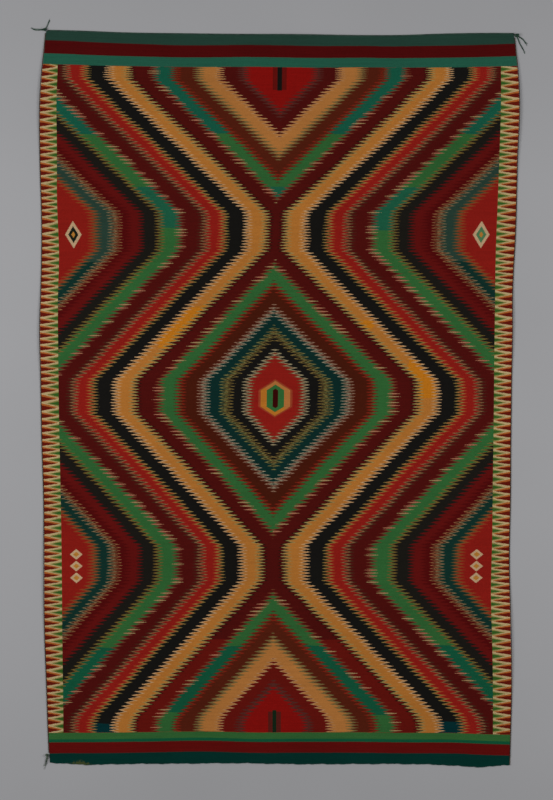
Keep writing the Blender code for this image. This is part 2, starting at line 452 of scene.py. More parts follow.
def waves(table, x, y):
    """A sum of level waves between -1 and 1."""
    return sum(wave.share * np.sin(wave.across * x + wave.along * y + wave.start) for wave in table)


def mesh_places(mesh):
    flat = np.empty(len(mesh.vertices) * 3)
    mesh.vertices.foreach_get("co", flat)
    return flat.reshape(-1, 3)


bpy.ops.mesh.primitive_grid_add(x_subdivisions=CELLS_ACROSS, y_subdivisions=CELLS_ALONG, size=2)
blanket = bpy.context.object
blanket.name = "woven_blanket"
places = mesh_places(blanket.data)
cloth_x, cloth_y = cloth_place(places[:, 0], places[:, 1])
end_share = np.clip(1 - (cloth_y + HALF_LENGTH) / NIBBLE_REACH, 0, 1)
worn_y = cloth_y + NIBBLE * end_share * waves(NIBBLES, cloth_x, cloth_y)
ripple = RIPPLE * (1 + waves(RIPPLES, cloth_x, cloth_y)) / 2
places = np.stack([cloth_x, worn_y, lift(cloth_x, cloth_y) + ripple], axis=1)
blanket.data.vertices.foreach_set("co", places.ravel())
print("grid of", len(blanket.data.vertices), "vertices")

# %% [markdown]
# ## The loom map and the golden yarn on the mesh
# The loom places are stored as a UV map, the usual home for a pattern's own coordinates. Here and
# there the weaver ran out of the tan-gold yarn and went on with a more golden one. Those patches
# follow no rule, so they are painted on the vertices from a list: where each lies and how big it
# is. Both are written before the sheet is thickened, so the back gets them too.

# %% Loom map and golden patches
Patch = namedtuple("Patch", "across up half_across half_up")
GOLDEN_PATCHES = (
    Patch(-0.285, 0.208, 0.062, 0.056),
    Patch(0.255, 0.215, 0.024, 0.012),
    Patch(0.412, 0.137, 0.026, 0.007),
    Patch(0.425, 0.062, 0.046, 0.056),
    Patch(0.052, -0.492, 0.016, 0.003),
    Patch(0.430, -0.343, 0.050, 0.003),
)


def patchwork(patches, x, y):
    """How deep inside the nearest patch each point lies: 1 at its middle, 0 at its edge."""
    inside = []
    for patch in patches:
        off_across = np.abs(x - patch.across) / patch.half_across
        off_up = np.abs(y - patch.up) / patch.half_up
        inside.append(1 - np.maximum(off_across, off_up))
    return np.max(inside, axis=0)


def each_corner(mesh, values):
    """Values given for each vertex, laid out for each corner of each face."""
    corners = np.empty(len(mesh.loops), dtype=np.int32)
    mesh.loops.foreach_get("vertex_index", corners)
    return values[corners]


loom_across, loom_along = loom_place(cloth_x, cloth_y)
loom_map = blanket.data.uv_layers.new(name="Loom")
pairs = each_corner(blanket.data, np.stack([loom_across, loom_along], axis=1))
loom_map.data.foreach_set("uv", pairs.ravel())
golden = blanket.data.attributes.new("golden", "FLOAT", "POINT")
golden.data.foreach_set("value", patchwork(GOLDEN_PATCHES, cloth_x, cloth_y))
print("loom map spans", [round(float(np.ptp(values)), 3) for values in (loom_across, loom_along)], "m")

# %% Blanket thickness
SHARP = math.radians(50)


def active(piece):
    """Make a piece the only selected and active one."""
    bpy.ops.object.select_all(action="DESELECT")
    piece.select_set(True)
    bpy.context.view_layer.objects.active = piece


active(blanket)
wall = blanket.modifiers.new("cloth_thickness", "SOLIDIFY")
wall.thickness = THICKNESS
wall.offset = 1.0
wall.use_rim = True
bpy.ops.object.modifier_apply(modifier=wall.name)
bpy.ops.object.shade_smooth_by_angle(angle=SHARP)
blanket.data.calc_loop_triangles()
print("blanket triangles", len(blanket.data.loop_triangles))

# %% [markdown]
# ## The order of the colours
# The whole field is one idea: a row of colours that is repeated outwards from the middle of each
# diamond, as rings round a stone dropped in water. So the pattern needs only one number at each
# place, how far out it is, and a table of bands that says what colour comes at which distance.
# The two half diamonds at the ends have another set of inner bands, and all share the outer ones.
# Each band also carries the number of its dye lot, because one bath of dye never quite matches
# the next, and some bands change shade part of the way up the cloth.

# %% Band tables
PLAIN, GREEN_LOT, GOLD_LOT, TEAL_LOT, BLACK_LOT, MAROON_LOT = (n / 8 for n in range(6))

RED = (130, 25, 18)
END_RED = (124, 13, 9)
MAROON = (71, 13, 10)
BROWN = (66, 22, 9)
BLACK = (19, 18, 16)
GREEN = (44, 92, 46)
TEAL = (10, 40, 36)
GREY_TEAL = (37, 58, 48)
GOLD = (164, 104, 43)

Band = namedtuple("Band", "until colour lot")
CENTRE_BANDS = (
    Band(0.076, RED, PLAIN),
    Band(0.084, (104, 62, 36), PLAIN),
    Band(0.092, (140, 128, 98), PLAIN),
    Band(0.136, BLACK, PLAIN),
    Band(0.143, (118, 98, 52), PLAIN),
    Band(0.151, (30, 24, 12), PLAIN),
    Band(0.159, (108, 104, 58), PLAIN),
    Band(0.204, TEAL, PLAIN),
    Band(0.211, (138, 132, 108), PLAIN),
    Band(0.216, (60, 32, 22), PLAIN),
    Band(0.223, (136, 102, 82), PLAIN),
    Band(0.280, BROWN, PLAIN),
)
END_BANDS = (
    Band(0.082, END_RED, PLAIN),
    Band(0.099, (76, 37, 31), PLAIN),
    Band(0.151, MAROON, MAROON_LOT),
    Band(0.159, (164, 122, 82), PLAIN),
    Band(0.210, (163, 106, 52), PLAIN),
    Band(0.225, (106, 90, 52), PLAIN),
    Band(0.280, (77, 27, 13), PLAIN),
)
INNER_BANDS = (
    Band(0.276, BROWN, PLAIN),
    Band(0.286, (120, 32, 18), PLAIN),
    Band(0.292, (64, 50, 26), PLAIN),
    Band(0.339, GREEN, GREEN_LOT),
    Band(0.348, (106, 54, 34), PLAIN),
    Band(0.405, MAROON, MAROON_LOT),
    Band(0.413, (30, 16, 9), PLAIN),
    Band(0.422, (140, 122, 72), PLAIN),
    Band(0.464, GOLD, GOLD_LOT),
    Band(0.473, (174, 138, 98), PLAIN),
    Band(0.532, BLACK, BLACK_LOT),
    Band(0.539, (124, 104, 54), PLAIN),
    Band(0.546, (150, 74, 36), PLAIN),
    Band(0.587, RED, PLAIN),
    Band(0.594, (122, 92, 60), PLAIN),
    Band(0.606, (66, 34, 22), PLAIN),
    Band(0.652, MAROON, PLAIN),
)
OUTER_BANDS = (
    Band(0.660, MAROON, PLAIN),
    Band(0.670, (100, 52, 36), PLAIN),
    Band(0.718, GREEN, GREEN_LOT),
    Band(0.729, (106, 84, 38), PLAIN),
    Band(0.778, (24, 22, 18), PLAIN),
    Band(0.815, (88, 14, 12), PLAIN),
    Band(0.843, (74, 8, 8), PLAIN),
    Band(0.850, (134, 88, 56), PLAIN),
    Band(0.858, (66, 32, 18), PLAIN),
    Band(0.866, (118, 100, 70), PLAIN),
    Band(0.904, GREY_TEAL, TEAL_LOT),
    Band(0.912, (84, 68, 38), PLAIN),
    Band(0.924, (126, 58, 28), PLAIN),
    Band(1.030, (126, 24, 17), PLAIN),
)
print(len(CENTRE_BANDS) + len(END_BANDS) + len(INNER_BANDS) + len(OUTER_BANDS), "bands")

# %% [markdown]
# ## The steps of the diamonds
# Down the cloth the bands shift out and in, in stages: level for a hand's breadth at the ends,
# outwards to the first waist, inwards to the middle, and so on. Within each stage the edges of the
# bands swing in and out by a few warps for every few wefts, and that swing makes the teeth. The
# table says how far the bands are shifted at each turn, and how tall the teeth are from there
# down. The last column is how far the teeth reach out from the middle of their line there: on the
# slants the weaver made them longer than on the level stretches.

# %% Step table
StepRow = namedtuple("StepRow", "up shift tooth reach")
STEPS = (
    StepRow(0.965, -0.0154, 0.0062, 0.0115),
    StepRow(0.931, -0.0154, 0.0096, 0.0138),
    StepRow(0.544, 0.3835, 0.0083, 0.0125),
    StepRow(0.530, 0.3876, 0.0083, 0.0118),
    StepRow(0.434, 0.3864, 0.0100, 0.0138),
    StepRow(0.172, 0.1249, 0.0105, 0.0138),
    StepRow(0.055, 0.0067, 0.0086, 0.0120),
    StepRow(0.038, 0.0036, 0.0086, 0.0118),
    StepRow(-0.041, 0.0036, 0.0098, 0.0135),
    StepRow(-0.163, 0.1240, 0.0106, 0.0138),
    StepRow(-0.201, 0.1618, 0.0106, 0.0138),
    StepRow(-0.428, 0.3783, 0.0087, 0.0118),
    StepRow(-0.530, 0.3783, 0.0106, 0.0138),
    StepRow(-0.923, 0.0000, 0.0080, 0.0120),
    StepRow(-0.946, -0.0087, 0.0080, 0.0115),
    StepRow(-0.972, -0.0087, 0.0080, 0.0115),
)


def steps_at(nodes, along):
    """The bands' shift, the count of teeth from the top and their reach, at each weft."""
    total = (STEPS[0].shift, 0.0, STEPS[0].reach)
    for upper, lower in zip(STEPS, STEPS[1:]):
        teeth = (upper.up - lower.up) / upper.tooth
        share = nodes.span(along, upper.up, lower.up)
        change = (lower.shift - upper.shift, teeth, lower.reach - upper.reach)
        total = nodes.vector("MULTIPLY_ADD", share, change, total)
    return nodes.split(total)


print("teeth down the cloth:", round(sum((a.up - b.up) / a.tooth for a, b in zip(STEPS, STEPS[1:]))))

# %% [markdown]
# ## One stitch of the weave
# In this weave the wefts are beaten down until they hide the warps. Each weft shows as a small
# pad over every second warp, and the next weft's pads sit between them, like bricks. A pad has
# one colour, so the pattern is read once at the middle of each pad, and the edges of the teeth
# then climb in true steps, one pad at a time. The same pads, rounded both ways, are the relief.

# %% Weave pads
WARP_STEP = 0.0022
PAD_TALL = 0.0009

wool = Nodes("woven_wool")
uv = wool.tree.nodes.new("ShaderNodeUVMap")
uv.uv_map = "Loom"
raw_across, raw_along, _ = wool.split(uv.outputs[0])
warps = wool.calc("DIVIDE", raw_across, WARP_STEP)
warp = wool.calc("FLOOR", warps)
odd = wool.calc("FLOORED_MODULO", warp, 2.0)
pads = wool.calc("MULTIPLY_ADD", odd, 0.5, wool.calc("DIVIDE", raw_along, PAD_TALL))
pad = wool.calc("FLOOR", pads)
across = wool.calc("MULTIPLY", wool.calc("ADD", warp, 0.5), WARP_STEP)
pad_middle = wool.calc("ADD", pad, 0.5)
along = wool.calc("MULTIPLY", wool.calc("MULTIPLY_ADD", odd, -0.5, pad_middle), PAD_TALL)
out = wool.calc("ABSOLUTE", across)
right_side = wool.calc("GREATER_THAN", across, 0.0)
loom_flat = wool.joined(raw_across, raw_along, 0.0)
print("pads across", round(2 * (FIELD_HALF + BORDER) / WARP_STEP))

# %% [markdown]
# ## The field
# Distance out is the sum of three things: how far a pad is from the middle warp, the shift of its
# weft, and the swing of the teeth. A slow wander is added, since a hand doesn't count every tooth
# alike. That one number looks up the band tables, each held in a Color Ramp with hard steps. A
# ramp has a few hundred steps of its own, so four short ramps keep thin lines sharp where one
# long ramp would blur their widths.

# %% Field colours
HAND_WANDER = 0.0030
TOOTH_WANDER = 0.0020
REACH_WANDER = 0.30
END_ZONE = 0.485
INNER_START = 0.250
OUTER_START = 0.640


def swing(nodes, count):
    """A straight-sided wave from -1 to 1, once for each tooth."""
    return nodes.calc("MULTIPLY_ADD", nodes.calc("PINGPONG", count, 0.5), 4.0, -1.0)


shift, tooth_count, tooth_reach = steps_at(wool, along)
wander = wool.noise(loom_flat, 14.0, 1.0)
tooth_row = wool.calc("ROUND", tooth_count)
tooth_place = wool.joined(wool.calc("MULTIPLY", across, 9.0), wool.calc("MULTIPLY", tooth_row, 3.7), 0.0)
tooth_noise = wool.noise(tooth_place, 1.0, 0.0)
reach_share = wool.span(wool.noise(loom_flat, 9.0, 1.0), 0.3, 0.7, 1 - REACH_WANDER / 2, 1 + REACH_WANDER / 2)
toothed = wool.calc("MULTIPLY", wool.calc("MULTIPLY", swing(wool, tooth_count), tooth_reach), reach_share)
ring_level = wool.calc("ADD", out, shift)
ring = wool.calc("ADD", ring_level, toothed)
ring = wool.calc("ADD", ring, wool.span(wander, 0.3, 0.7, -HAND_WANDER / 2, HAND_WANDER / 2))
ring = wool.calc("ADD", ring, wool.span(tooth_noise, 0.3, 0.7, -TOOTH_WANDER / 2, TOOTH_WANDER / 2))
in_end = wool.calc("GREATER_THAN", wool.calc("ABSOLUTE", along), END_ZONE)

centre_colour, centre_lot = wool.bands(ring, 0.0, CENTRE_BANDS)
end_colour, end_lot = wool.bands(ring, 0.0, END_BANDS)
inner_colour, inner_lot = wool.bands(ring, INNER_START, INNER_BANDS)
outer_colour, outer_lot = wool.bands(ring, OUTER_START, OUTER_BANDS)


def lookup(nodes, centre, end, inner, outer):
    """Pick one of four tables' answers by where on the cloth, and how far out, a pad is."""
    heart = nodes.mix(in_end, centre, end)
    picked = nodes.mix(nodes.calc("GREATER_THAN", ring, INNER_BANDS[0].until), heart, inner)
    return nodes.mix(nodes.calc("GREATER_THAN", ring, INNER_BANDS[-1].until), picked, outer)


field = lookup(wool, centre_colour, end_colour, inner_colour, outer_colour)
lot, _, _ = wool.split(lookup(wool, centre_lot, end_lot, inner_lot, outer_lot))
print("field nodes", len(wool.tree.nodes))

# %% [markdown]
# ## Dye lots and odd teeth
# Where a weaver changes to a new lot of yarn, the shade changes along one level weft, on every
# band of that colour at once. So each rule below names a lot, the levels between which the second
# shade shows, and the second shade. Where maroon meets green, a tooth here and there is pale from
# root to tip: a random number for each tooth picks them, and the pale part is a thin level lens
# round the tooth's own middle weft.

# %% Dye lots
Lot = namedtuple("Lot", "number low high colour")
LOTS = (
    Lot(GREEN_LOT, 0.771, 1.1, (20, 82, 62)),
    Lot(GREEN_LOT, 0.495, 0.617, (26, 84, 60)),
    Lot(GREEN_LOT, -0.914, -0.719, (16, 78, 53)),
    Lot(TEAL_LOT, -1.1, 0.400, (14, 44, 37)),
    Lot(BLACK_LOT, -1.1, -0.940, (2, 42, 44)),
    Lot(MAROON_LOT, -1.1, -0.700, (93, 17, 11)),
)
LOT_TOLERANCE = 0.05
LEVEL_WANDER = 0.006
PALE_LINES = (0.345, 0.664)
PALE_REACH = 0.021
PALE_TALL = 0.15
PALE_SHARE = 0.64
PALE_TOOTH = (150, 124, 84)
PINK_TOOTH = (158, 104, 78)


def is_lot(nodes, number):
    return nodes.calc("COMPARE", lot, number, LOT_TOLERANCE)


def between(nodes, value, low, high):
    above = nodes.calc("GREATER_THAN", value, low)
    return nodes.calc("MULTIPLY", above, nodes.calc("LESS_THAN", value, high))


level_noise = wool.noise(wool.joined(across, 0.0, 0.0), 5.0, 1.0)
level = wool.calc("ADD", along, wool.span(level_noise, 0.3, 0.7, -LEVEL_WANDER, LEVEL_WANDER))
for rule in LOTS:
    shows = wool.calc("MULTIPLY", is_lot(wool, rule.number), between(wool, level, rule.low, rule.high))
    field = wool.mix(shows, field, linear(rule.colour))

off_tooth = wool.calc("ABSOLUTE", wool.calc("SUBTRACT", tooth_count, tooth_row))
off_tooth = wool.calc("DIVIDE", off_tooth, PALE_TALL)
for number, line in enumerate(PALE_LINES):
    chance = wool.speckle(wool.joined(tooth_row, right_side, number + 0.5))
    off_line = wool.calc("ABSOLUTE", wool.calc("SUBTRACT", ring_level, line))
    off_line = wool.calc("DIVIDE", off_line, PALE_REACH)
    lens = wool.calc("ADD", wool.calc("MULTIPLY", off_line, off_line), off_tooth)
    chosen = wool.calc("GREATER_THAN", chance, PALE_SHARE)
    pale = wool.calc("MULTIPLY", chosen, wool.calc("LESS_THAN", lens, 1.0))
    pink = wool.calc("GREATER_THAN", chance, (1 + PALE_SHARE) / 2)
    tint = wool.mix(pink, linear(PALE_TOOTH), linear(PINK_TOOTH))
    field = wool.mix(pale, field, tint)

GOLDEN_YARN = (178, 108, 22)
GOLDEN_EDGE = 0.25
golden_depth = wool.tree.nodes.new("ShaderNodeAttribute")
golden_depth.attribute_name = "golden"
streak_place = wool.joined(wool.calc("MULTIPLY", across, 12.0), wool.calc("MULTIPLY", along, 90.0), 0.0)
streaky = wool.noise(streak_place, 1.0)
ragged = wool.span(streaky, 0.3, 0.7, -GOLDEN_EDGE, GOLDEN_EDGE)
golden_here = wool.calc("ADD", golden_depth.outputs["Fac"], ragged)
golden_here = wool.calc("GREATER_THAN", golden_here, 0.0)
field = wool.mix(wool.calc("MULTIPLY", golden_here, is_lot(wool, GOLD_LOT)), field, linear(GOLDEN_YARN))
print("dye lots", len(LOTS))

# %% [markdown]
# ## The small figures of the field
# The middle diamond holds a six-sided stone in four colours, and each half diamond at the ends
# holds a short upright bar. They are drawn by rule: a nest of hexagons is one measure, the larger
# of a pad's distance to the sides and to the slanted roofs, looked up in a ramp. The four red
# half medallions at the sides each hold a plain stepped diamond or a column of them, of the kind
# found on many such cloths.

# %% Hexagon and bars
HEXAGON_MIDDLE = (-0.001, 0.0016)
HEXAGON_SHOULDER = 0.0232
ROOF_SLOPE = 0.63
ROOF_STEP = 0.645
HEXAGON_BANDS = (
    Band(0.0084, (52, 6, 4), PLAIN),
    Band(0.0260, (46, 96, 48), PLAIN),
    Band(0.0426, (170, 104, 34), GOLD_LOT),
    Band(0.0500, (140, 58, 34), PLAIN),
    Band(0.0600, RED, PLAIN),
)
HEXAGON_TAN = (166, 104, 52)


def box_mask(nodes, x, y, half_across, low, high):
    """1 inside an upright box round the middle warp, else 0."""
    return nodes.calc("MULTIPLY", nodes.calc("LESS_THAN", x, half_across), between(nodes, y, low, high))


hex_x = wool.calc("SUBTRACT", across, HEXAGON_MIDDLE[0])
hex_y = wool.calc("SUBTRACT", along, HEXAGON_MIDDLE[1])
hex_out = wool.calc("ABSOLUTE", hex_x)
roof = wool.calc("MULTIPLY_ADD", hex_out, ROOF_SLOPE, wool.calc("ABSOLUTE", hex_y))
roof = wool.calc("DIVIDE", wool.calc("SUBTRACT", roof, HEXAGON_SHOULDER), ROOF_STEP)
hexagon = wool.calc("MAXIMUM", hex_out, roof)
hex_colour, hex_lot = wool.bands(hexagon, 0.0, HEXAGON_BANDS)
tan_side = wool.calc("GREATER_THAN", wool.calc("ADD", hex_x, hex_y), 0.0)
tan_side = wool.calc("MULTIPLY", tan_side, wool.calc("COMPARE", hex_lot, GOLD_LOT, LOT_TOLERANCE))
hex_colour = wool.mix(tan_side, hex_colour, linear(HEXAGON_TAN))
field = wool.mix(wool.calc("LESS_THAN", hexagon, HEXAGON_BANDS[-2].until), field, hex_colour)

Bar = namedtuple("Bar", "across low high half_flank half_bar flank_short flank bar")
BARS = (
    Bar(-0.0023, 0.897, 1.1, 0.0198, 0.0062, 0.002, (92, 14, 10), (17, 17, 14)),
    Bar(0.0032, -1.1, -0.905, 0.0195, 0.0060, -0.004, (80, 24, 19), (16, 34, 19)),
)
for bar in BARS:
    bar_out = wool.calc("ABSOLUTE", wool.calc("SUBTRACT", across, bar.across))
    flank_low = bar.low + max(bar.flank_short, 0.0)
    flank_high = bar.high + min(bar.flank_short, 0.0)
    flanks = box_mask(wool, bar_out, along, bar.half_flank, flank_low, flank_high)
    field = wool.mix(flanks, field, linear(bar.flank))
    upright = box_mask(wool, bar_out, along, bar.half_bar, bar.low, bar.high)
    field = wool.mix(upright, field, linear(bar.bar))
print("hexagon and", len(BARS), "bars")

# %% Figures in the side medallions
FIGURE_OUT = 0.590
UPPER_FIGURE_UP = 0.478
LOWER_FIGURE_UP = -0.486
UPPER_SIZE = (0.024, 0.040)
LOWER_SIZE = (0.019, 0.0155)
LOWER_STEP = 0.034
LOWER_COUNT = 3
FIGURE_CREAM = (176, 146, 112)
FIGURE_DARK = (18, 26, 18)
FIGURE_GREEN = (70, 110, 74)
FIGURE_GOLD = (166, 112, 44)


def diamond(nodes, x, y, size):
    """1 at the tips of a diamond of the given half sizes, less inside."""
    flat = nodes.calc("DIVIDE", nodes.calc("ABSOLUTE", x), size[0])
    return nodes.calc("ADD", flat, nodes.calc("DIVIDE", nodes.calc("ABSOLUTE", y), size[1]))


figure_x = wool.calc("SUBTRACT", out, FIGURE_OUT)
upper = diamond(wool, figure_x, wool.calc("SUBTRACT", along, UPPER_FIGURE_UP), UPPER_SIZE)
upper_heart = wool.mix(right_side, linear(FIGURE_DARK), linear(FIGURE_GREEN))
upper_colour = wool.mix(wool.calc("LESS_THAN", upper, 0.62), linear(FIGURE_CREAM), upper_heart)
upper_colour = wool.mix(wool.calc("LESS_THAN", upper, 0.24), upper_colour, linear(FIGURE_GOLD))
field = wool.mix(wool.calc("LESS_THAN", upper, 1.0), field, upper_colour)

lower_y = wool.calc("SUBTRACT", along, LOWER_FIGURE_UP)
in_column = wool.calc("LESS_THAN", wool.calc("ABSOLUTE", lower_y), LOWER_STEP * LOWER_COUNT / 2)
nearest_row = wool.calc("ROUND", wool.calc("DIVIDE", lower_y, LOWER_STEP))
nearest = wool.calc("SUBTRACT", lower_y, wool.calc("MULTIPLY", nearest_row, LOWER_STEP))
lower = diamond(wool, figure_x, nearest, LOWER_SIZE)
lower_colour = wool.mix(wool.calc("LESS_THAN", lower, 0.5), linear(FIGURE_CREAM), linear(FIGURE_GOLD))
in_lower = wool.calc("MULTIPLY", in_column, wool.calc("LESS_THAN", lower, 1.0))
field = wool.mix(in_lower, field, lower_colour)
print("figures at", FIGURE_OUT, "m out")

# %% [markdown]
# ## Side borders
# Each side has a narrow cream border with two combs of spikes that mesh like fingers: red spikes
# edged with orange from the outside, and thin green ones edged with olive from the inside. A spike
# is a wedge: a pad belongs to it when its height from the spike's middle is less than the wedge's
# width there. The two combs share one count of spikes, half a spike apart.

# %% Border combs
SPIKE_TALL = 0.0205
SPIKE_WANDER = 0.55
BORDER_CREAM = (172, 150, 108)

Comb = namedtuple("Comb", "offset root tip half colour")
COMBS = (
    Comb(0.50, 0.0, 0.72, 0.38, (120, 116, 60)),
    Comb(0.50, 0.0, 0.56, 0.23, (46, 84, 30)),
    Comb(-0.09, 1.0, 0.06, 0.42, (156, 86, 36)),
    Comb(0.02, 1.0, 0.16, 0.31, (92, 20, 9)),
)
spike_noise = wool.noise(wool.joined(right_side, wool.calc("MULTIPLY", along, 1.0), 0.0), 4.0, 2.0)
spikes = wool.calc("DIVIDE", along, SPIKE_TALL)
spikes = wool.calc("ADD", spikes, wool.span(spike_noise, 0.3, 0.7, -SPIKE_WANDER, SPIKE_WANDER))
in_border = wool.calc("DIVIDE", wool.calc("SUBTRACT", out, FIELD_HALF), BORDER)
border = linear(BORDER_CREAM)
for comb in COMBS:
    turned = wool.calc("ADD", spikes, comb.offset)
    off_middle = wool.calc("ABSOLUTE", wool.calc("SUBTRACT", turned, wool.calc("ROUND", turned)))
    wedge = wool.span(in_border, comb.tip, comb.root, 0.0, comb.half)
    border = wool.mix(wool.calc("LESS_THAN", off_middle, wedge), border, linear(comb.colour))
colour = wool.mix(wool.calc("GREATER_THAN", out, FIELD_HALF), field, border)
print("combs", len(COMBS))

# %% [markdown]
# ## End stripes
# A weaver starts and ends with plain stripes, each a few hundred wefts of one colour. They are two
# more tables of bands, looked up by the weft's own level. Wefts bow a little, so the level is
# given a slow wander along the row. At the lower end the stripes are worn, and near the left
# corner a faint patch has worn to a greenish brown.

# %% End stripes
TOP_STRIPES = (
    Band(0.965, RED, PLAIN),
    Band(0.993, (33, 84, 66), PLAIN),
    Band(1.028, (72, 8, 8), PLAIN),
    Band(1.100, (34, 60, 50), PLAIN),
)
BOTTOM_STRIPES = (
    Band(0.9700, RED, PLAIN),
    Band(0.9890, (46, 92, 46), PLAIN),
    Band(0.9980, (12, 78, 50), PLAIN),
    Band(1.0292, (88, 11, 9), PLAIN),
    Band(1.100, (2, 44, 38), PLAIN),
)
BOW = 0.0012
STRIPES_START = 0.950
WORN_PATCH = Patch(-0.583, -1.060, 0.030, 0.011)
WORN_SHADE = (58, 66, 36)

bow_noise = wool.noise(wool.joined(across, wool.calc("SIGN", along), 0.0), 3.0, 1.0)
bowed = wool.calc("ADD", along, wool.span(bow_noise, 0.3, 0.7, -BOW, BOW))
top_colour, _ = wool.bands(bowed, STRIPES_START, TOP_STRIPES)
bottom_colour, _ = wool.bands(wool.calc("MULTIPLY", bowed, -1.0), STRIPES_START, BOTTOM_STRIPES)
colour = wool.mix(wool.calc("GREATER_THAN", bowed, TOP_STRIPES[0].until), colour, top_colour)
colour = wool.mix(wool.calc("LESS_THAN", bowed, -BOTTOM_STRIPES[0].until), colour, bottom_colour)

worn_x = wool.calc("SUBTRACT", across, WORN_PATCH.across)
worn_up = wool.calc("SUBTRACT", along, WORN_PATCH.up)
worn = diamond(wool, worn_x, worn_up, (WORN_PATCH.half_across, WORN_PATCH.half_up))
worn = wool.calc("ADD", worn, wool.span(wool.noise(loom_flat, 160.0), 0.3, 0.7, -0.5, 0.5))
colour = wool.mix(wool.span(worn, 1.1, 0.7), colour, linear(WORN_SHADE))
print("stripes", len(TOP_STRIPES) + len(BOTTOM_STRIPES) - 2)

# %% [markdown]
# ## Yarn shade and relief
# Hand-spun, hand-dyed yarn is never even. Three unevennesses are laid over the colours: long level
# streaks, because one length of yarn runs across, broad clouds of fading and handling, and a small
# difference from pad to pad. The relief is the pads themselves: each is round across the warp and
# round up and down. The colour is also darkened in the gaps between the pads, which is painted shade
# for the shadow that falls in those hollows. Wool is dull, so the finish is rough with almost no
# gloss, and a weak sheen stands for the halo of loose fibres at glancing angles.

# %% Yarn shade and relief
STREAKS = 0.10
CLOUDS = 0.06
PAD_SHADES = 0.16
# How dark the painted shade in the gaps between the pads is.
PAINTED_GAP_SHADE = 0.72
RELIEF = 0.00035

shade_place = wool.joined(wool.calc("MULTIPLY", across, 7.0), wool.calc("MULTIPLY", along, 330.0), 0.0)
streak = wool.noise(shade_place, 1.0)
cloud = wool.noise(loom_flat, 5.0, 3.0)
pad_chance = wool.speckle(wool.joined(warp, pad, 0.0))
shade = wool.span(streak, 0.25, 0.75, 1 - STREAKS, 1 + STREAKS)
shade = wool.calc("MULTIPLY", shade, wool.span(cloud, 0.3, 0.7, 1 - CLOUDS, 1 + CLOUDS))
shade = wool.calc("MULTIPLY", shade, wool.span(pad_chance, 0.0, 1.0, 1 - PAD_SHADES / 2, 1 + PAD_SHADES / 2))

side_of_pad = wool.calc("ABSOLUTE", wool.calc("SUBTRACT", wool.calc("FRACT", warps), 0.5))
top_of_pad = wool.calc("ABSOLUTE", wool.calc("SUBTRACT", wool.calc("FRACT", pads), 0.5))
round_across = wool.calc("MULTIPLY_ADD", wool.calc("POWER", side_of_pad, 2.0), -4.0, 1.0)
round_along = wool.calc("MULTIPLY_ADD", wool.calc("POWER", top_of_pad, 2.0), -4.0, 1.0)
height = wool.calc("MULTIPLY_ADD", round_along, 0.4, round_across)
fibre_across = wool.calc("MULTIPLY", raw_across, 900.0)
fibre_along = wool.calc("MULTIPLY", raw_along, 3600.0)
fibre = wool.noise(wool.joined(fibre_across, fibre_along, 0.0), 1.0)
height = wool.calc("MULTIPLY_ADD", fibre, 0.3, height)
wool.relief(height, RELIEF)
# Painted shade: the colour is darkened in the hollows between the pads, where shadow falls.
painted_valley_shade = wool.span(wool.calc("MULTIPLY", round_across, round_along), 0.0, 0.35, PAINTED_GAP_SHADE, 1.0)
shade = wool.calc("MULTIPLY", shade, painted_valley_shade)

BRIGHTER = 1.05
wool.put(wool.shader.inputs["Base Color"], wool.scaled(colour, wool.calc("MULTIPLY", shade, BRIGHTER)))
wool.shader.inputs["Roughness"].default_value = 0.95
wool.shader.inputs["Specular IOR Level"].default_value = 0.03
wool.shader.inputs["Sheen Weight"].default_value = 0.02
wool.shader.inputs["Sheen Roughness"].default_value = 0.5
blanket.data.materials.clear()
blanket.data.materials.append(wool.material)
print("blanket nodes", len(wool.tree.nodes))

# %% [markdown]
# ## Edge cords
# As the weaver works, two cords at each side are twisted round each other and caught by the wefts,
# and another pair is laced through the warp loops at the top end. From above they are a thin dark
# line. A plain tube would do at a distance, but a near view shows the twist, so each cord here is
# two plies, each a tube along a helix, and the helix follows the edge of the cloth.

# %% Cord helpers
CORD_RADIUS = 0.0015
EDGE_GAP = 0.0003
CORD_END_GAP = 0.0018
PLY_RADIUS = 0.00078
PLY_OFFSET = 0.00070
TWIST_LENGTH = 0.0105
POINTS_PER_TURN = 8


def even_route(points, spacing):
    """Points spaced evenly along a polyline."""
    points = np.asarray(points, dtype=float)
    lengths = np.r_[0, np.cumsum(np.linalg.norm(np.diff(points, axis=0), axis=1))]
    count = max(int(lengths[-1] / spacing), 4)
    stops = np.linspace(0, lengths[-1], count + 1)
    return np.stack([np.interp(stops, lengths, points[:, axis]) for axis in range(3)], axis=1)


def ply_along(route, start_angle, offset, turn_length):
    """The points of one ply, which winds round a route."""
    ahead = np.gradient(route, axis=0)
    ahead /= np.linalg.norm(ahead, axis=1)[:, None]
    beside = np.cross(ahead, (0.0, 0.0, 1.0))
    beside /= np.linalg.norm(beside, axis=1)[:, None]
    above = np.cross(beside, ahead)
    walked = np.r_[0, np.cumsum(np.linalg.norm(np.diff(route, axis=0), axis=1))]
    angle = start_angle + 2 * math.pi * walked / turn_length
    return route + offset * (np.cos(angle)[:, None] * beside + np.sin(angle)[:, None] * above)


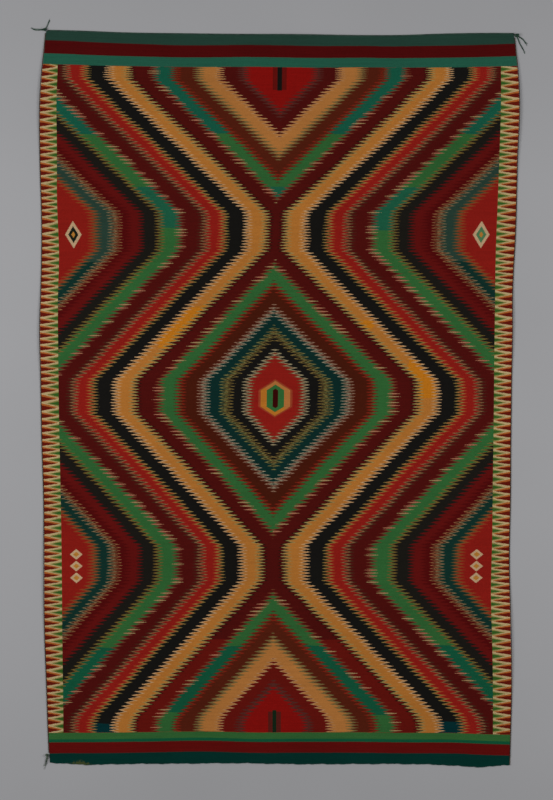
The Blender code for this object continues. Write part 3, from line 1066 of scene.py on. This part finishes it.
def tubes(name, lines, sides=1):
    """One mesh of closed tubes. Each line is its points and its radii."""
    curve = bpy.data.curves.new(name, "CURVE")
    curve.dimensions = "3D"
    curve.bevel_depth = 1.0
    curve.bevel_resolution = sides
    curve.use_fill_caps = True
    for points, radii in lines:
        spline = curve.splines.new("POLY")
        spline.points.add(len(points) - 1)
        spline.points.foreach_set("co", np.c_[points, np.ones(len(points))].ravel())
        spline.points.foreach_set("radius", radii)
    piece = bpy.data.objects.new(name, curve)
    bpy.context.collection.objects.link(piece)
    active(piece)
    bpy.ops.object.convert(target="MESH")
    piece = bpy.context.object
    bpy.ops.object.mode_set(mode="EDIT")
    bpy.ops.mesh.select_all(action="SELECT")
    bpy.ops.mesh.remove_doubles(threshold=0.000001)
    bpy.ops.mesh.normals_make_consistent(inside=False)
    bpy.ops.object.mode_set(mode="OBJECT")
    bpy.ops.object.shade_smooth_by_angle(angle=SHARP)
    return piece


print("cord twist", TWIST_LENGTH, "m a turn")

# %% [markdown]
# ## Knots at the corners
# At three corners the ends of the cords are tied in an overhand knot, and the yarn beyond it is
# left loose. The knots' sizes and the tails' directions are those of the frame. The cords stop
# just short of the knots, so the knots are placed first.

# %% Knot and tail tables
Knot = namedtuple("Knot", "name side end along_side length width height")
KNOTS = (
    Knot("top_left_tassel", -1, 1, 0.000, 0.012, 0.010, 0.009),
    Knot("top_right_tassel", 1, 1, 0.004, 0.017, 0.012, 0.010),
    Knot("bottom_left_tassel", -1, -1, 0.022, 0.013, 0.011, 0.009),
)
Tail = namedtuple("Tail", "tassel heading bend length root tip")
TAILS = (
    Tail("top_left_tassel", 66.0, 22.0, 0.036, 0.0030, 0.0022),
    Tail("top_left_tassel", 176.0, -22.0, 0.046, 0.0050, 0.0016),
    Tail("top_right_tassel", -44.0, -40.0, 0.050, 0.0032, 0.0020),
    Tail("top_right_tassel", -64.0, 12.0, 0.060, 0.0034, 0.0016),
    Tail("bottom_left_tassel", -108.0, -24.0, 0.046, 0.0060, 0.0030),
)


def edge_point(u, v):
    """One point of the cloth's edge, with the height of its underside."""
    x, y = (float(value[0]) for value in cloth_place(np.array([u]), np.array([v])))
    return x, y, float(lift(x, y))


def knot_reach(knot, direction, height_up):
    """How far a knot's surface lies from its middle, in a level direction and at a height."""
    level_reach = 1 / math.hypot(direction.x / (knot.length / 2), direction.y / (knot.width / 2))
    off_middle = 2 * height_up / knot.height - 1
    return level_reach * math.sqrt(max(1 - off_middle * off_middle, 0))


def knot_station(knot):
    return knot.end * (1 - knot.along_side / HALF_LENGTH)


def knot_centre(knot):
    """Where a knot sits: just off the cloth, at its corner or on the side near it."""
    x, y, under = edge_point(knot.side, knot_station(knot))
    away = Vector((knot.side, knot.end if knot.along_side == 0 else 0)).normalized()
    clear = knot_reach(knot, away, under + THICKNESS) + EDGE_GAP
    return Vector((x + away.x * clear, y + away.y * clear, knot.height / 2))


print("knots at", [tuple(round(value, 3) for value in knot_centre(knot)) for knot in KNOTS])

# %% Edge cords
EDGE_POINTS = 300


def off_knots(points):
    """The points of a route that keep clear of every knot."""
    kept = []
    for point in points:
        place = Vector(point)
        gaps = [(place.xy - knot_centre(knot).xy) for knot in KNOTS]
        clear = [gap.length - knot_reach(knot, gap.normalized(), place.z) for gap, knot in zip(gaps, KNOTS)]
        if min(clear) > CORD_END_GAP:
            kept.append(point)
    return kept


def edge_route(corners, outward):
    """A cord's route along an edge, just off the cloth."""
    away = CORD_RADIUS + EDGE_GAP
    points = []
    for u, v in corners:
        x, y, under = edge_point(u, v)
        points.append((x + outward[0] * away, y + outward[1] * away, under + CORD_RADIUS))
    return even_route(off_knots(points), TWIST_LENGTH / POINTS_PER_TURN)


def twisted_cord(name, route):
    radii = np.full(len(route), PLY_RADIUS)
    plies = [ply_along(route, turn, PLY_OFFSET, TWIST_LENGTH) for turn in (0.0, math.pi)]
    return tubes(name, [(ply, radii) for ply in plies])


def side_corners(side):
    tied = [knot_station(knot) for knot in KNOTS if knot.side == side]
    low = max((place for place in tied if place < 0), default=-1.0)
    high = min((place for place in tied if place > 0), default=1.0)
    return [(side, v) for v in np.linspace(low, high, EDGE_POINTS)]


top_corners = [(u, 1.0) for u in np.linspace(-1, 1, EDGE_POINTS)]
top_cord = twisted_cord("top_edge_cord", edge_route(top_corners, (0, 1)))
left_cord = twisted_cord("left_edge_cord", edge_route(side_corners(-1), (-1, 0)))
right_cord = twisted_cord("right_edge_cord", edge_route(side_corners(1), (1, 0)))
print("cord faces", [len(cord.data.polygons) for cord in (top_cord, left_cord, right_cord)])

# %% [markdown]
# ## Tassels
# Each tassel is a small overhand knot and a few strands of yarn that lie together where they leave
# it and spread, curl and thin towards their tips. The knot is one tube along the curve that
# mathematicians call a trefoil, which is what an overhand knot is. A strand follows its tail's
# route, with its own small offset and wave, so that no two lie the same.

# %% Tassels
STRAND_STEPS = 26
STRAND_RADIUS = 0.00055
KNOT_TUBE = 0.30
KNOT_POINTS = 60
STRANDS_PER_TAIL = 6
FRAY = 0.0034
CURL = 0.0011


def tail_route(start, tail):
    """The middle line of one tail, lying on the floor as it turns."""
    points = [Vector((start.x, start.y, 0.0))]
    for step in range(STRAND_STEPS):
        share = (step + 0.5) / STRAND_STEPS
        heading = math.radians(tail.heading + tail.bend * (share - 0.5))
        move = Vector((math.cos(heading), math.sin(heading), 0.0)) * tail.length / STRAND_STEPS
        points.append(points[-1] + move)
    return np.array(points)


def strands(tail, start, chance):
    """The strands of one tail, bunched at the knot and spread at the tip."""
    route = tail_route(start, tail)
    share = np.linspace(0, 1, len(route))
    ahead = np.gradient(route, axis=0)
    ahead /= np.linalg.norm(ahead, axis=1)[:, None]
    beside = np.cross(ahead, (0.0, 0.0, 1.0))
    lines = []
    for number in range(STRANDS_PER_TAIL):
        turn = 2 * math.pi * number / STRANDS_PER_TAIL
        bunch = tail.root / 2 - STRAND_RADIUS
        spread = chance.uniform(-1, 1) * FRAY * share ** 2
        curl = CURL * share * np.sin(share * chance.uniform(7, 15) + chance.uniform(0, 6))
        sideways = bunch * math.cos(turn) * (1 - 0.4 * share) + spread + curl
        raised = np.clip(tail.root / 2 + bunch * math.sin(turn) * (1 - share), STRAND_RADIUS, None)
        last = int(len(route) * chance.uniform(0.72, 1.0))
        points = route + sideways[:, None] * beside
        points[:, 2] = np.maximum(raised * (1 - 0.55 * share), STRAND_RADIUS)
        radii = STRAND_RADIUS * (1 - 0.45 * share)
        lines.append((points[:last], radii[:last]))
    return lines


def overhand_knot(knot):
    """One closed tube along a trefoil, fitted to the knot's size."""
    t = np.linspace(0, 2 * math.pi, KNOT_POINTS)
    shape = np.stack([np.sin(t) + 2 * np.sin(2 * t), np.cos(t) - 2 * np.cos(2 * t), -np.sin(3 * t)], axis=1)
    radius = KNOT_TUBE * knot.height / 2
    room = np.array([knot.length, knot.width, knot.height]) / 2 - radius
    points = shape / np.array([3.0, 3.0, 1.0]) * room
    centre = np.array(knot_centre(knot))
    return points + centre, np.full(KNOT_POINTS, radius)


tassels = {}
for seed, knot in enumerate(KNOTS):
    chance = np.random.default_rng(seed + 3)
    lines = [overhand_knot(knot)]
    for tail in TAILS:
        if tail.tassel == knot.name:
            lines += strands(tail, knot_centre(knot), chance)
    tassels[knot.name] = tubes(knot.name.replace("tassel", "knotted_yarn"), lines, sides=2)
    print(knot.name, "lines", len(lines), "faces", len(tassels[knot.name].data.polygons))

# %% [markdown]
# ## Finish of the cords and tassels
# Cord and tassel yarn is the same wool, spun harder. It takes a dark dye unevenly, and rubs pale
# on the outside of its bends. A streaked noise gives the shade and fine fibre gives the relief.

# %% Yarn finishes
def yarn_finish(name, dark, light, scale):
    """A dull dyed yarn, from a dark shade to a lighter one."""
    yarn = Nodes(name)
    place = yarn.object_place()
    patchy = yarn.noise(place, scale, 4.0)
    shade = yarn.mix(yarn.span(patchy, 0.35, 0.68), linear(dark), linear(light))
    yarn.put(yarn.shader.inputs["Base Color"], shade)
    yarn.relief(yarn.noise(place, 2600.0, 3.0), 0.0002)
    yarn.shader.inputs["Roughness"].default_value = 0.95
    yarn.shader.inputs["Specular IOR Level"].default_value = 0.12
    yarn.shader.inputs["Sheen Weight"].default_value = 0.08
    return yarn.material


end_yarn = yarn_finish("end_cord_wool", (24, 44, 36), (52, 78, 64), 60.0)
side_yarn = yarn_finish("side_cord_wool", (44, 36, 28), (88, 74, 58), 45.0)
tassel_yarn = yarn_finish("tassel_wool", (14, 40, 30), (44, 78, 58), 160.0)
low_tassel_yarn = yarn_finish("low_tassel_wool", (40, 56, 46), (104, 116, 98), 160.0)
top_cord.data.materials.append(end_yarn)
left_cord.data.materials.append(side_yarn)
right_cord.data.materials.append(side_yarn)
tassels["top_left_tassel"].data.materials.append(tassel_yarn)
tassels["top_right_tassel"].data.materials.append(tassel_yarn)
tassels["bottom_left_tassel"].data.materials.append(low_tassel_yarn)
print("yarn finishes", 4)

# %% [markdown]
# ## Join the pieces to the frame
# Each finished piece rides on the frame's one body and hides the plain solid that it stands for.
# The blanket, the cords and the tassels all go on that same body.

# %% Frame calls
Link = namedtuple("Link", "piece node slot")
LINKS = (
    Link(blanket, "blanket_panel", "woven_wool"),
    Link(top_cord, "top_end_cord", "end_cord_wool"),
    Link(left_cord, "left_side_cord", "side_cord_wool"),
    Link(right_cord, "right_side_cord", "side_cord_wool"),
    Link(tassels["top_left_tassel"], "top_left_tassel", "tassel_wool"),
    Link(tassels["top_right_tassel"], "top_right_tassel", "tassel_wool"),
    Link(tassels["bottom_left_tassel"], "bottom_left_tassel", "low_tassel_wool"),
)
for link in LINKS:
    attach(link.piece, "root")
    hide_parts(link.node)
print("pieces", len(LINKS))
